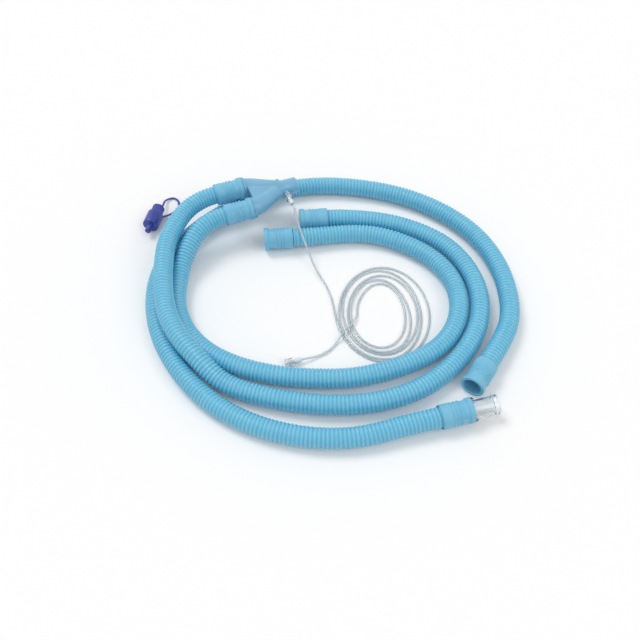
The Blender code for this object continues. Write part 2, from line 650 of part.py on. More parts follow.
def main():
    clear_scene()
    parts = collection(COLLECTION)
    cutters = collection("cutters")

    y_blue = material("y_piece_blue", (0.16, 0.52, 0.80), 0.25, 0.85)
    cuff_blue = material("cuff_blue", (0.14, 0.50, 0.78), 0.45)
    hose_blue = material("hose_blue", (0.10, 0.46, 0.72), 0.40)
    clear = material("clear_plastic", (0.86, 0.91, 0.93), 0.12, 0.45)
    line = material("clear_line", (0.84, 0.89, 0.91), 0.20, 0.55)
    hub_white = material("hub_white", (0.85, 0.88, 0.90), 0.30)
    violet = material("plug_violet", (0.05, 0.06, 0.42), 0.35)

    make_y_piece(parts, cutters, y_blue)

    y_inspiratory, y_expiratory = y_cuff(-1), y_cuff(1)
    machine_inspiratory = floor_cuff(MACHINE_CUFF_INSPIRATORY)
    machine_expiratory = floor_cuff(MACHINE_CUFF_EXPIRATORY)
    bag_a, bag_b = floor_cuff(BAG_CUFF_A), floor_cuff(BAG_CUFF_B)
    cuffs = {"y_cuff_inspiratory": y_inspiratory, "y_cuff_expiratory": y_expiratory,
             "machine_cuff_inspiratory": machine_inspiratory,
             "machine_cuff_expiratory": machine_expiratory,
             "bag_hose_cuff_a": bag_a, "bag_hose_cuff_b": bag_b}
    for name, (mouth, to_hose) in cuffs.items():
        make_cuff(name, mouth, to_hose, parts, cuff_blue)

    make_hose("inspiratory_hose", y_inspiratory, INSPIRATORY_ROUTE, machine_inspiratory,
              parts, hose_blue)
    make_hose("expiratory_hose", y_expiratory, EXPIRATORY_ROUTE, machine_expiratory,
              parts, hose_blue)
    make_hose("bag_hose", bag_a, BAG_ROUTE, bag_b, parts, hose_blue)
    make_bag_connector(bag_b, parts, clear)

    make_luer("patient", *patient_luer(), parts, hub_white, clear)
    make_luer("monitor", *monitor_luer(), parts, hub_white, clear)
    make_coil(parts, line)
    make_lead("sampling_line_lead_patient", patient_luer(), PATIENT_LEAD_ROUTE, parts, line)
    make_lead("sampling_line_lead_monitor", monitor_luer(), MONITOR_LEAD_ROUTE, parts, line)
    make_plug(parts, cutters, violet)


main()
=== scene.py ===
"""Looks of the coiled anesthesia breathing circuit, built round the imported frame.

In metres, apart from the routes, the places given with them and what is marked mm.
"""
import math

import bmesh
import bpy
import numpy as np
from mathutils import Matrix, Vector


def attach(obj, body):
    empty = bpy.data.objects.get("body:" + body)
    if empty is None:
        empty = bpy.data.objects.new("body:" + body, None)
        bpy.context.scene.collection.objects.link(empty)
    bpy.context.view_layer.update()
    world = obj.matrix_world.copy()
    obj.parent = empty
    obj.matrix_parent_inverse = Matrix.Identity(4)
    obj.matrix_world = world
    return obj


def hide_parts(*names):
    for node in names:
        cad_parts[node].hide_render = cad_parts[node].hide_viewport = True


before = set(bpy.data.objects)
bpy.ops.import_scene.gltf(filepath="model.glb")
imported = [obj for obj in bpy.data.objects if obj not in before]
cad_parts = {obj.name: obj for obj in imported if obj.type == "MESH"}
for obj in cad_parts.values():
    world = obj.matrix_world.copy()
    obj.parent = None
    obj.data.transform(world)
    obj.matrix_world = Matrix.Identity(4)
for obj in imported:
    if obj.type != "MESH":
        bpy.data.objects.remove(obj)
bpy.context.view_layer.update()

MM = 0.001

# Places shared with the part's source: the ring's centre, and the hoses' routes in millimetres
# from it
RING_CENTRE = (0.00055, -0.00516)
INSPIRATORY_ROUTE = [
    (-152.5, 111, 39.5), (-166, 97.5, 35.5), (-176, 80, 29), (-184.5, 56, 20.5),
    (-188, 30, 14.5), (-187, -2, 12.5),
    (-172, -46, 12.5), (-142, -81, 12.5), (-103, -103, 12.5), (-67, -114, 12.5), (-32, -119.5, 12.5),
    (0, -121, 12.5), (33, -119.5, 12.5), (67, -112, 12.5), (101, -99, 12.5), (137, -77, 12.5),
    (162, -43, 12.5), (171, -2, 12.5), (163, 40, 12.5), (138, 76, 12.5), (104, 100, 12.5),
    (67, 114, 12.5), (30, 116, 12.5), (-4, 111.5, 13.5)]
EXPIRATORY_ROUTE = [
    (-167.5, 151.5, 40.5), (-181, 138.5, 40), (-190.5, 122.5, 39.5), (-198, 101, 39.2),
    (-203.5, 80, 38.7), (-205, 58, 38.2), (-204, 30, 37), (-200.5, -2, 35.3),
    (-187, -50, 34.2), (-159.5, -91.5, 30.4), (-142.5, -108.5, 24.6), (-122.8, -124.5, 16.2),
    (-82, -142, 12.5), (-41, -152, 12.5), (0, -157, 12.5), (42, -156, 12.5), (86, -146, 12.5),
    (127, -125, 12.5), (162, -92, 12.5), (188, -48, 12.5), (197.5, 0, 12.5), (189, 50, 12.5),
    (163, 94, 12.5), (124, 123, 12.5), (83, 139, 12.5), (44, 144, 13.5)]
BAG_ROUTE = [
    (215, -68, 13.7), (230, -35, 12.8), (235, 0, 12.5), (228, 61, 12.5), (203, 117, 12.5),
    (161, 161, 12.5), (110, 191, 12.5), (55, 207, 12.5), (0, 212, 12.5), (-54, 204, 12.5),
    (-104, 182, 12.5), (-147, 149, 12.5), (-184, 107, 12.5), (-210, 57, 12.5), (-214.3, 1, 12.5),
    (-201, -55, 12.5), (-175.5, -103, 12.5), (-141, -144, 12.5), (-99, -174, 12.5),
    (-51, -193, 12.5), (0, -201, 12.6), (48, -197.5, 12.9), (88, -186.5, 13.8)]

# Where the hose ends of the floor's cuffs are, and the line's end of the free hub: x and y in
# millimetres from the ring's centre, and the way the mouth looks in degrees
MACHINE_CUFF_INSPIRATORY = (-42, 106.5, 185)
MACHINE_CUFF_EXPIRATORY = (5, 143, 184)
BAG_CUFF_A = (193, -103, 236)
BAG_CUFF_B = (131, -175.5, 15)
MONITOR_HUB = (-28, -88.5, 197)

# Routes of the sampling line's leads and of the plug's strap, in millimetres from the ring's centre
PATIENT_LEAD_ROUTE = [
    (-38, 127, 37), (-33, 111, 31.5), (-26, 92, 24), (-17, 72, 12), (-9, 55, 5), (0, 39, 1.9),
    (7, 22, 1.4)]
MONITOR_LEAD_ROUTE = [(12, -66, 1.5), (0, -77, 2.2), (-10, -82, 2.6)]
STRAP_ROUTE = [
    (-231, 165, 9), (-227, 174, 9), (-226, 186, 6), (-222, 195, 2.5), (-215, 198, 1.3),
    (-208.5, 193, 1.2), (-206, 184, 1.2), (-208, 174, 1.5), (-214, 165, 3), (-221, 157, 6),
    (-230, 150, 9)]

# Sizes shared with the part's source: hoses, tapers and cuffs
SEAT_GAP = 0.0003            # between faces that meet
TAPER_GAP = 0.0004           # between a male taper and the cuff round it
HOSE_RADIUS = 0.0125         # over the crests of the corrugation
SOCKET_RUN = 0.004           # how far a hose or line stays straight past its socket
MALE_ROOT_RADIUS = 0.0109
MALE_TIP_RADIUS = 0.0106
TAPER_END_GAP = 0.0010       # between a male taper's tip and the bottom of the cuff's mouth
GAS_BORE_RADIUS = 0.0092
CUFF_MOUTH_DEPTH = 0.0200
MALE_LENGTH = CUFF_MOUTH_DEPTH - TAPER_END_GAP
CUFF_WEB = 0.0030
CUFF_SOCKET_DEPTH = 0.0150
CUFF_WALL = 0.0013
CUFF_BEAD_RADIUS = 0.0150
CUFF_BEAD_LENGTH = 0.0055
CUFF_RIB_RADIUS = 0.0144
SOCKET_EASE = 0.0006         # between a hose and its socket's wall
SOCKET_RADIUS = HOSE_RADIUS + SOCKET_EASE
CUFF_LENGTH = CUFF_MOUTH_DEPTH + CUFF_WEB + CUFF_SOCKET_DEPTH
FLANGE_RADIUS = 0.0143       # of the bag connector, as the next three
FLANGE_WIDTH = 0.0030
BAG_NECK_LENGTH = 0.0280
BAG_BEAD_RADIUS = 0.0119

# Sizes shared with the part's source: the Y-piece
Y_ARM_SPACING = 0.043
Y_FAN_LENGTH = 0.044
Y_LIMB_RADIUS = 0.0125
Y_NECK_RADIUS = 0.0108
Y_NECK_BORE = 0.0070
Y_NECK_OFFSET = 0.0030
Y_BORE_END = 0.95            # share of the fan where the limbs' bores open into the port
Y_COLLAR_RADIUS = 0.0145
Y_COLLAR_WIDTH = 0.0030
Y_STEM_LENGTH = 0.026
Y_STEM_ROOT_RADIUS = 0.0116
Y_STEM_TIP_RADIUS = 0.0109
Y_PORT_RADIUS = 0.0077
Y_PORT_RUN = Y_STEM_LENGTH + 0.0140     # so that it is cut past the stem's mouth
Y_STRAIGHTNESS = 0.65        # 1 is a straight limb, 0 one that leaves and arrives level
Y_WEB_THICKNESS = 0.0190
Y_NOTCH_DEPTH = 0.0020
Y_LIFT = 0.0410              # height of its axis
Y_HEADING = math.radians(22)
Y_PLACE = (-0.1015, 0.1575)
BOSS_REACH = 0.0203          # from the stem's axis to the mouth of the luer boss
BOSS_ALONG = 0.0060          # from the stem's root to the boss
BOSS_RADIUS = 0.0036
BOSS_BORE = 0.00215

# Sizes shared with the part's source: the sampling line and its fittings
LUER_TIP_RADIUS = 0.00185
LUER_TIP_LENGTH = 0.0060
LUER_FLANGE_RADIUS = 0.0035
LUER_FLANGE_WIDTH = 0.0015
LUER_NECK_RADIUS = 0.0024
LUER_NECK_LENGTH = 0.0045
LUER_GRIP_RADIUS = 0.0034
LUER_GRIP_LENGTH = 0.0080
LUER_SOCKET_DEPTH = 0.0060
LUER_BORE = 0.0008
LUER_LENGTH = SEAT_GAP + LUER_FLANGE_WIDTH + LUER_NECK_LENGTH + LUER_GRIP_LENGTH
COLLAR_RADIUS = 0.0052
COLLAR_INNER = 0.0041
COLLAR_REACH = 0.0050        # how far the collar runs over the boss
COLLAR_END_WALL = 0.0020
LINE_RADIUS = 0.0014
COIL_CENTRE = (75, -10)      # mm from the ring's centre
COIL_OUTER = (62, 82)        # mm, half its width and half its length

# Sizes shared with the part's source: the port plug
PLUG_PLACE = (-0.231, 0.168)
PLUG_HEADING = math.radians(258)
PLUG_BLOCK_RADIUS = 0.0085
PLUG_BLOCK_LENGTH = 0.0140
PLUG_BODY_RADIUS = 0.0112
PLUG_BODY_TIP_RADIUS = 0.0106
PLUG_BODY_LENGTH = 0.0220
PLUG_TIP_RADIUS = 0.00425
PLUG_TIP_LENGTH = 0.0110
PLUG_RECESS_RADIUS = 0.0060
PLUG_RECESS_DEPTH = 0.0060

# Corrugation of the hoses
RIDGE_PITCH = 0.0047
RIDGE_DEPTH = 0.0013
RIDGE_POWER = 0.8            # below 1 a crest is broader than a valley
RINGS_PER_RIDGE = 8
HOSE_SIDES = 36
HOSE_BORE = 0.0098
BORE_RING_STEP = 16          # the bore has a ring at every second ridge

# Detail of the cuffs and the bag connector
CUFF_ROUNDING = 0.0007
CUFF_GRIP_RADIUS = 0.0132
CUFF_SLEEVE_FOOT = 0.0040    # from the web to where the sleeve over the hose begins
CUFF_RIBS = 3
CUFF_RIB_START = 0.0025      # from the web to the foot of the first rib, on the hose's side
CUFF_RIB_PITCH = 0.0045
CUFF_RIB_SLOPE = 0.0010
CUFF_RIB_TOP = 0.0014
CUFF_BEAD_SLOPE = 0.0012
CONNECTOR_ROUNDING = 0.0006
BAG_BEAD_FOOT = 0.006        # from the connector's end, as the next one
BAG_BEAD_BACK = 0.004
BAG_BEAD_EDGE = 0.001

# Detail of the Y-piece
Y_EDGE = 0.0004              # bevel of its collars and of the port's rim
Y_RIM_RUN = 0.0006           # length of the rim's bevel
Y_SHOULDER = 0.0006          # bevel of an arm's collar towards the fan
Y_TAPER_EDGE = 0.0005
Y_STEM_BACK = 0.002          # how far the stem's collar starts inside the fan
Y_STEM_FOOT = 0.004          # how far the stem's foot runs on from there
Y_PORT_BACK = 0.004          # how far inside the fan the port begins
Y_PORT_TAPER = 0.96          # radius of the port's bottom over that of its mouth
Y_BORE_PAST = 0.005          # how far a bore is cut past the arm's tip
Y_NOTCH_SHARE = 0.9          # of the arms' spacing that the notch spans
BOSS_EDGE = 0.0003
BOSS_EDGE_RUN = 0.0004
BOSS_SPIGOT = 0.007          # from the boss's mouth to where it widens
BOSS_FLARE_END = 0.009       # from the mouth to where it is wide
BOSS_FLARE = 0.0009
BOSS_FOOT = 0.0085           # from the stem's axis to the boss's foot, inside the stem's wall
BOSS_FOOT_FLARE = 0.0012
BOSS_BORE_FROM = 0.002       # from the stem's axis
BOSS_BORE_TO = 0.030         # past the boss's mouth

# Detail of the luer fittings and the port plug
LUER_ROUNDING = 0.0003
LUER_TIP_END_RADIUS = 0.00178
LUER_END_RADIUS = 0.0030
LUER_END_TAPER = 0.0015
LUER_SHOULDER = 0.0005
COLLAR_FLUTES = 16
COLLAR_FLUTE_DEPTH = 0.0005
COLLAR_FLUTED = (-0.0040, 0.0032)       # between which heights the collar has its flutes
PLUG_ROUNDING = 0.0008
PLUG_TIP_TAPER = 0.94        # radius of the tip's end over that of its root
PLUG_FLUTES = 18
PLUG_FLUTE_DEPTH = 0.0007
PLUG_FLUTE_MARGIN = 0.0012   # from the ends of the block to its flutes
FLUTE_FADE = 0.0002          # half the length over which a flute fades in
STRAP_HALF_WIDTH = 0.0016
STRAP_FLATNESS = 0.7

# Turning, sweeping and shading
TURN_SEGMENTS = 96
SMALL_SEGMENTS = 48
Y_SEGMENTS = 72
BOSS_SEGMENTS = 40
FLUTE_SEGMENTS = 6           # to a flute
Y_LIMB_SIDES = 56
Y_LIMB_RINGS = 24
Y_WEB_STEPS = 16
Y_NOTCH_STEPS = 15
LINE_SIDES = 14
LINE_STEP = 0.0022
STRAP_SIDES = 20
STRAP_STEP = 0.0012
SPLINE_DENSITY = 60          # points to each given one, before a curve is evened out
HOSE_CURVE_STEP = 0.001
LINE_CURVE_STEP = 0.0005
CORNER_STEPS = 3
CORNER_SHARE = 0.45          # of an edge that a rounded corner may take
AXIS_RADIUS = 0.00002        # of the smallest ring of a solid turned piece
AXIS_WELD = 0.00005          # points this close join, as those of such a ring do
SLIVER_WELD = 0.000001       # the same, for what the Booleans leave
END_RISE = 0.0001            # of the middle of a blunt end
SAME = 0.000001              # radii this close count as equal
SHARP_ANGLE = 38.0           # degrees, past which an edge stays sharp
Y_SHARP_ANGLE = 32.0
TUBE_SHARP_ANGLE = 80.0      # for what is sharp at its ends alone

# Coil of the sampling line
COIL_TURNS = 5
COIL_PITCH = 6.4             # mm between turns, on the average round the oval
COIL_LOOSENESS = 1.6         # mm more on the loose side, less on the tight side
COIL_LOOSE_SIDE = math.radians(45)
COIL_WANDER = 1.7            # mm that a turn strays in and out of its place
COIL_WANDER_RATE = 1.45      # strays in each turn, so that neighbours lie unevenly and cross
COIL_WANDER_LIMIT = 0.5      # of the way wound in that a stray may go back out
COIL_START = math.radians(172)
COIL_INSET = 0.8             # mm from the solid's edge to the outer turn's middle
COIL_STEPS_PER_TURN = 48
COIL_LEAD_IN = 2             # steps of the first turn that the patient's lead replaces
COIL_CROSSING = [(-1, -14), (-6, -27), (-17, -42)]    # mm from the coil's inner end
LINE_LIE = 1.45              # mm, height of a line that lies on the floor
LINE_REST = 0.0029           # between the middles of two lines that lie on each other
LINE_HUMP = 0.009            # half the length over which a line rises to cross another
LINE_NEAR = 4 * LINE_HUMP    # a line isn't laid over what came this shortly before
LAYING_ROUNDS = 4

# Camera and stage, from the photograph's fit
CAMERA_HEIGHT = 0.79
CAMERA_FOOT = (-0.00445, -0.65016)
CAMERA_PITCH = math.radians(51.8)
CAMERA_LENS = 44.7
SENSOR = 36.0
FLOOR_DROP = 0.0002
FLOOR_SIZE = 6.0
FLOOR_TONE = 0.85            # what the floor throws back on to the object
FLOOR_WHITE = 0.97
FLOOR_GLOW = 0.06
SKY_STRENGTH = 0.60
KEY_PLACE = (-0.9, 0.7, 1.7)
KEY_SPREAD = 26.0            # degrees
KEY_STRENGTH = 1.0
FILL_PLACE = (1.3, -0.9, 1.5)
FILL_SPREAD = 36.0
FILL_STRENGTH = 0.45

# Noise in the materials, its scales in patches to the metre
TONE_SCALE = 60.0
CREST_TONE_SCALE = 45.0
ROUGHNESS_SCALE = 140.0
TONE_RANGE = (0.35, 0.65)    # of the noise that goes from one tone to the other
ROUGHNESS_RANGE = (0.3, 0.7)
BUMP_STRENGTH = 0.6


# Places

def from_ring(x, y, z):
    """A place given in millimetres from the ring's centre."""
    return Vector((RING_CENTRE[0] + x * MM, RING_CENTRE[1] + y * MM, z * MM))


def heading(angle):
    """The level direction at an angle from X."""
    return Vector((math.cos(angle), math.sin(angle), 0.0))


def floor_cuff(place):
    """The mouth, and the way to the hose, of a cuff that lies on the floor."""
    x, y, degrees = place
    out = heading(math.radians(degrees))
    return from_ring(x, y, CUFF_BEAD_RADIUS / MM) + out * CUFF_LENGTH, -out


def y_frame():
    """The Y-piece's place: its X runs from the arms' roots to the stem."""
    place = from_ring(Y_PLACE[0] / MM, Y_PLACE[1] / MM, Y_LIFT / MM)
    return Matrix.Translation(place) @ Matrix.Rotation(Y_HEADING, 4, "Z")


def y_cuff(side):
    """The mouth, and the way to the hose, of the cuff on one arm of the Y-piece."""
    place = y_frame()
    root = place @ Vector((-Y_COLLAR_WIDTH - SEAT_GAP, side * Y_ARM_SPACING / 2, 0.0))
    return root, place.to_3x3() @ Vector((-1.0, 0.0, 0.0))


def patient_luer():
    """Where the line's fitting meets the Y-piece's boss, and the way out to the line."""
    place = y_frame()
    mouth = place @ Vector((Y_FAN_LENGTH + BOSS_ALONG, -BOSS_REACH, 0.0))
    return mouth, place.to_3x3() @ Vector((0.0, -1.0, 0.0))


def monitor_luer():
    """The same for the fitting that lies free on the floor."""
    x, y, degrees = MONITOR_HUB
    out = heading(math.radians(degrees))
    return from_ring(x, y, COLLAR_RADIUS / MM) + out * LUER_LENGTH, -out


def standing(origin, direction):
    """The matrix that puts a turned piece's Z along the direction."""
    return Matrix.Translation(origin) @ Vector(direction).to_track_quat("Z", "Y").to_matrix().to_4x4()


# Curves and meshes

def smooth_curve(points, spacing, start=None, end=None):
    """Points about `spacing` apart on the cubic spline through the given points."""
    knots = np.array([tuple(p) for p in points], float)
    steps = np.linalg.norm(np.diff(knots, axis=0), axis=1)
    at = np.concatenate([[0.0], np.cumsum(steps)])
    count = len(knots)
    system = np.eye(count)
    right = np.zeros_like(knots)
    for i in range(1, count - 1):
        before, after = steps[i - 1], steps[i]
        system[i, i - 1:i + 2] = (before, 2 * (before + after), after)
        right[i] = 6 * ((knots[i + 1] - knots[i]) / after - (knots[i] - knots[i - 1]) / before)
    if start is not None:
        system[0, :2] = (2 * steps[0], steps[0])
        right[0] = 6 * ((knots[1] - knots[0]) / steps[0] - np.array(start))
    if end is not None:
        system[-1, -2:] = (steps[-1], 2 * steps[-1])
        right[-1] = 6 * (np.array(end) - (knots[-1] - knots[-2]) / steps[-1])
    bend = np.linalg.solve(system, right)
    dense = np.linspace(0.0, at[-1], SPLINE_DENSITY * count)
    i = np.clip(np.searchsorted(at, dense, side="right") - 1, 0, count - 2)
    h = steps[i][:, None]
    a = (at[i + 1] - dense)[:, None]
    b = (dense - at[i])[:, None]
    path = ((bend[i] * a ** 3 + bend[i + 1] * b ** 3) / (6 * h)
            + (knots[i] / h - bend[i] * h / 6) * a
            + (knots[i + 1] / h - bend[i + 1] * h / 6) * b)
    return resample(path, spacing)


def resample(path, spacing):
    """The same line with its points evenly spaced."""
    run = run_of(path)
    wanted = np.linspace(0.0, run[-1], max(2, round(run[-1] / spacing) + 1))
    return np.stack([np.interp(wanted, run, path[:, axis]) for axis in range(3)], axis=1)


def run_of(path):
    """How far along the line each of its points is."""
    return np.concatenate([[0.0], np.cumsum(np.linalg.norm(np.diff(path, axis=0), axis=1))])


def circles(path, radii, sides, flatness=1.0):
    """A ring of points round each point of the path, square to it."""
    ahead = np.gradient(path, axis=0)
    ahead /= np.linalg.norm(ahead, axis=1)[:, None]
    across = np.cross(ahead, np.array([0.0, 0.0, 1.0]))
    across /= np.linalg.norm(across, axis=1)[:, None]
    upward = np.cross(across, ahead)
    turn = np.linspace(0.0, 2 * math.pi, sides, endpoint=False)
    out = (np.cos(turn)[None, :, None] * across[:, None, :]
           + flatness * np.sin(turn)[None, :, None] * upward[:, None, :])
    return path[:, None, :] + out * np.asarray(radii)[:, None, None]


def turned_rings(profile, segments, flute=None):
    """Rings of points for a section (radius, height) turned about Z."""
    turn = np.linspace(0.0, 2 * math.pi, segments, endpoint=False)
    rings = []
    for radius, height in profile:
        reach = np.full(segments, radius)
        if flute is not None:
            reach = reach - flute(turn, height, radius)
        rings.append(np.stack([reach * np.cos(turn), reach * np.sin(turn),
                               np.full(segments, height)], axis=1))
    return np.array(rings)


def skin(name, rings, closed):
    """A mesh through rings of points. Closed joins the last ring to the first, open caps both."""
    count, sides = rings.shape[:2]
    across = np.arange(sides)
    beside = (across + 1) % sides
    faces = []
    for i in range(count if closed else count - 1):
        here = i * sides
        there = ((i + 1) % count) * sides
        faces.extend(zip((here + across).tolist(), (here + beside).tolist(),
                         (there + beside).tolist(), (there + across).tolist()))
    if not closed:
        faces.append(tuple(range(sides)))
        faces.append(tuple(range((count - 1) * sides, count * sides)))
    mesh = bpy.data.meshes.new(name)
    mesh.from_pydata(rings.reshape(-1, 3).tolist(), [], faces)
    return sound(mesh)


def sound(mesh, weld=0.0):
    """The mesh with its faces turned outwards, and with points within `weld` of each other joined."""
    work = bmesh.new()
    work.from_mesh(mesh)
    if weld:
        bmesh.ops.remove_doubles(work, verts=work.verts, dist=weld)
    bmesh.ops.recalc_face_normals(work, faces=work.faces)
    work.to_mesh(mesh)
    work.free()
    return mesh


def rounded(profile, radius, closed=True):
    """The section with each of its corners rounded, by at most `radius`."""
    made = []
    count = len(profile)
    for i in range(count):
        corner = np.array(profile[i], float)
        if not closed and i in (0, count - 1):
            made.append(tuple(corner))
            continue
        before = np.array(profile[i - 1], float)
        after = np.array(profile[(i + 1) % count], float)
        back = np.linalg.norm(before - corner)
        forth = np.linalg.norm(after - corner)
        cut = min(radius, back * CORNER_SHARE, forth * CORNER_SHARE)
        first = corner + (before - corner) / back * cut
        last = corner + (after - corner) / forth * cut
        for k in range(CORNER_STEPS + 1):
            t = k / CORNER_STEPS
            point = first * (1 - t) ** 2 + corner * 2 * t * (1 - t) + last * t ** 2
            made.append(tuple(point))
    return made


def add_piece(name, mesh, material, nodes, sharp=SHARP_ANGLE):
    """Put a finished mesh in the scene as a piece that stands for its CAD nodes."""
    piece = bpy.data.objects.new(name, mesh)
    bpy.context.scene.collection.objects.link(piece)
    mesh.materials.clear()
    mesh.materials.append(material)
    mesh.shade_smooth()
    mesh.set_sharp_from_angle(angle=math.radians(sharp))
    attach(piece, "root")
    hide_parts(*nodes)
    return piece


def turned_piece(name, profile, place, material, nodes, segments=TURN_SEGMENTS, flute=None):
    """A hollow turned piece, from its whole section, with its Z put in its place."""
    mesh = skin(name, turned_rings(profile, segments, flute), closed=True)
    mesh.transform(place)
    return add_piece(name, mesh, material, nodes)


# Materials

def node(tree, kind, inputs=None, **settings):
    """A new shader node with its settings, and values on some of its inputs."""
    made = tree.nodes.new(kind)
    for name, value in settings.items():
        setattr(made, name, value)
    for socket, value in (inputs or {}).items():
        made.inputs[socket].default_value = value
    return made


def noise(tree, scale, detail=4.0):
    """A noise over the piece's own coordinates."""
    where = node(tree, "ShaderNodeTexCoord")
    made = node(tree, "ShaderNodeTexNoise", {"Scale": scale, "Detail": detail, "Roughness": 0.55})
    tree.links.new(where.outputs["Object"], made.inputs["Vector"])
    return made.outputs["Fac"]


def toned(tree, source, first, last):
    """A noise value turned into a colour between two tones."""
    made = node(tree, "ShaderNodeValToRGB")
    for stop, position, tone in zip(made.color_ramp.elements, TONE_RANGE, (first, last)):
        stop.position = position
        stop.color = (*tone, 1.0)
    tree.links.new(source, made.inputs["Fac"])
    return made.outputs["Color"]


def spread(tree, source, low, high):
    """A noise value brought between two values."""
    made = node(tree, "ShaderNodeMapRange",
                {"From Min": ROUGHNESS_RANGE[0], "From Max": ROUGHNESS_RANGE[1],
                 "To Min": low, "To Max": high})
    tree.links.new(source, made.inputs["Value"])
    return made.outputs["Result"]


def plastic(name, tones, rough, bump=(1800.0, 0.00003), **sockets):
    """A moulded plastic: two close tones, roughness that varies, and a fine skin.

    The skin's `bump` is the scale of its noise and its height.
    """
    made = bpy.data.materials.new(name)
    made.use_nodes = True
    tree = made.node_tree
    shader = tree.nodes["Principled BSDF"]
    tone = toned(tree, noise(tree, TONE_SCALE), *tones)
    tree.links.new(tone, shader.inputs["Base Color"])
    patches = noise(tree, ROUGHNESS_SCALE, 3.0)
    tree.links.new(spread(tree, patches, *rough), shader.inputs["Roughness"])
    scale, distance = bump
    relief = node(tree, "ShaderNodeBump", {"Strength": BUMP_STRENGTH, "Distance": distance})
    tree.links.new(noise(tree, scale, 2.0), relief.inputs["Height"])
    tree.links.new(relief.outputs["Normal"], shader.inputs["Normal"])
    for key, value in sockets.items():
        shader.inputs[key.replace("_", " ")].default_value = value
    return made


def hose_plastic():
    """The hose's thin plastic, with a painted highlight that makes the crests paler and painted shade
    that makes the valleys deeper.
    """
    # Painted shade: the valleys' tones are a deeper blue than those of the crests.
    valley_shade_tones = ((0.090, 0.445, 0.680), (0.110, 0.475, 0.705))
    # Painted highlight: the crests' tones are paler.
    crest = ((0.170, 0.575, 0.790), (0.200, 0.610, 0.815))
    made = plastic("hose_blue", valley_shade_tones, (0.26, 0.42), (900.0, 0.00004),
                   Subsurface_Weight=0.25, Subsurface_Scale=0.004, Coat_Weight=0.4,
                   Coat_Roughness=0.16)
    tree = made.node_tree
    colour = tree.nodes["Principled BSDF"].inputs["Base Color"]
    valley_shade = colour.links[0].from_socket
    crest_highlight = toned(tree, noise(tree, CREST_TONE_SCALE), *crest)
    # How far up a ridge a point is mixes the valleys' painted shade into the crests' painted highlight.
    height = node(tree, "ShaderNodeAttribute", attribute_name="crest")
    mix = node(tree, "ShaderNodeMix", data_type="RGBA")
    from_deep, to_pale = [socket for socket in mix.inputs if socket.type == "RGBA"]
    tree.links.new(height.outputs["Fac"], mix.inputs["Factor"])
    tree.links.new(valley_shade, from_deep)
    tree.links.new(crest_highlight, to_pale)
    tree.links.new(next(socket for socket in mix.outputs if socket.type == "RGBA"), colour)
    return made


def make_materials():
    return {
        "hose": hose_plastic(),
        "cuff": plastic("cuff_blue", ((0.180, 0.520, 0.740), (0.215, 0.560, 0.770)), (0.34, 0.50),
                        Subsurface_Weight=0.2, Subsurface_Scale=0.004),
        "y": plastic("y_piece_blue", ((0.230, 0.590, 0.850), (0.270, 0.630, 0.870)), (0.12, 0.24),
                     (700.0, 0.00001), Transmission_Weight=0.25, IOR=1.49, Coat_Weight=0.3,
                     Coat_Roughness=0.08),
        "clear": plastic("clear_plastic", ((0.90, 0.95, 0.97), (0.95, 0.98, 0.99)), (0.02, 0.07),
                         (260.0, 0.00001), Transmission_Weight=0.97, IOR=1.49),
        "line": plastic("clear_line", ((0.70, 0.79, 0.85), (0.78, 0.85, 0.89)), (0.08, 0.18),
                        (400.0, 0.000002), Transmission_Weight=0.45, IOR=1.45),
        "hub": plastic("hub_white", ((0.74, 0.79, 0.82), (0.80, 0.84, 0.86)), (0.22, 0.36)),
        "plug": plastic("plug_violet", ((0.019, 0.042, 0.315), (0.029, 0.058, 0.380)), (0.24, 0.40),
                        Coat_Weight=0.2, Coat_Roughness=0.2),
    }


# Hoses

def hose_path(start_cuff, route, end_cuff):
    """The hose's centre line from one cuff's seat to the other's."""
    seat = CUFF_LENGTH - CUFF_SOCKET_DEPTH + SEAT_GAP
    free = CUFF_LENGTH + SOCKET_RUN
    points = [start_cuff[0] + start_cuff[1] * free]
    points += [from_ring(*p) for p in route]
    points += [end_cuff[0] + end_cuff[1] * free]
    middle = smooth_curve(points, HOSE_CURVE_STEP, start_cuff[1], -end_cuff[1])
    first = np.array(start_cuff[0] + start_cuff[1] * seat)
    last = np.array(end_cuff[0] + end_cuff[1] * seat)
    return resample(np.vstack([first, middle, last]), RIDGE_PITCH / RINGS_PER_RIDGE)


def make_hose(name, start_cuff, route, end_cuff, material):
    """A corrugated tube with its bore, and how far up a ridge each of its points is."""
    path = hose_path(start_cuff, route, end_cuff)
    run = run_of(path)
    wave = 0.5 + 0.5 * np.cos(2 * math.pi * run / RIDGE_PITCH)
    crest = wave ** RIDGE_POWER
    outer = circles(path, HOSE_RADIUS - RIDGE_DEPTH * (1 - crest), HOSE_SIDES)
    inside = np.unique(np.append(np.arange(0, len(path), BORE_RING_STEP), len(path) - 1))
    bore = circles(path, np.full(len(path), HOSE_BORE), HOSE_SIDES)[inside][::-1]
    mesh = skin(name, np.concatenate([outer, bore]), closed=True)
    # How far up a ridge each point is, which the hose's material turns into a painted highlight on the
    # crests and painted shade in the valleys.
    height = np.concatenate([np.repeat(crest, HOSE_SIDES), np.zeros(len(inside) * HOSE_SIDES)])
    layer = mesh.attributes.new("crest", "FLOAT", "POINT")
    layer.data.foreach_set("value", height.astype(np.float32))
    hose = add_piece(f"{name}_tube", mesh, material, [name], TUBE_SHARP_ANGLE)


# Cuffs and connectors

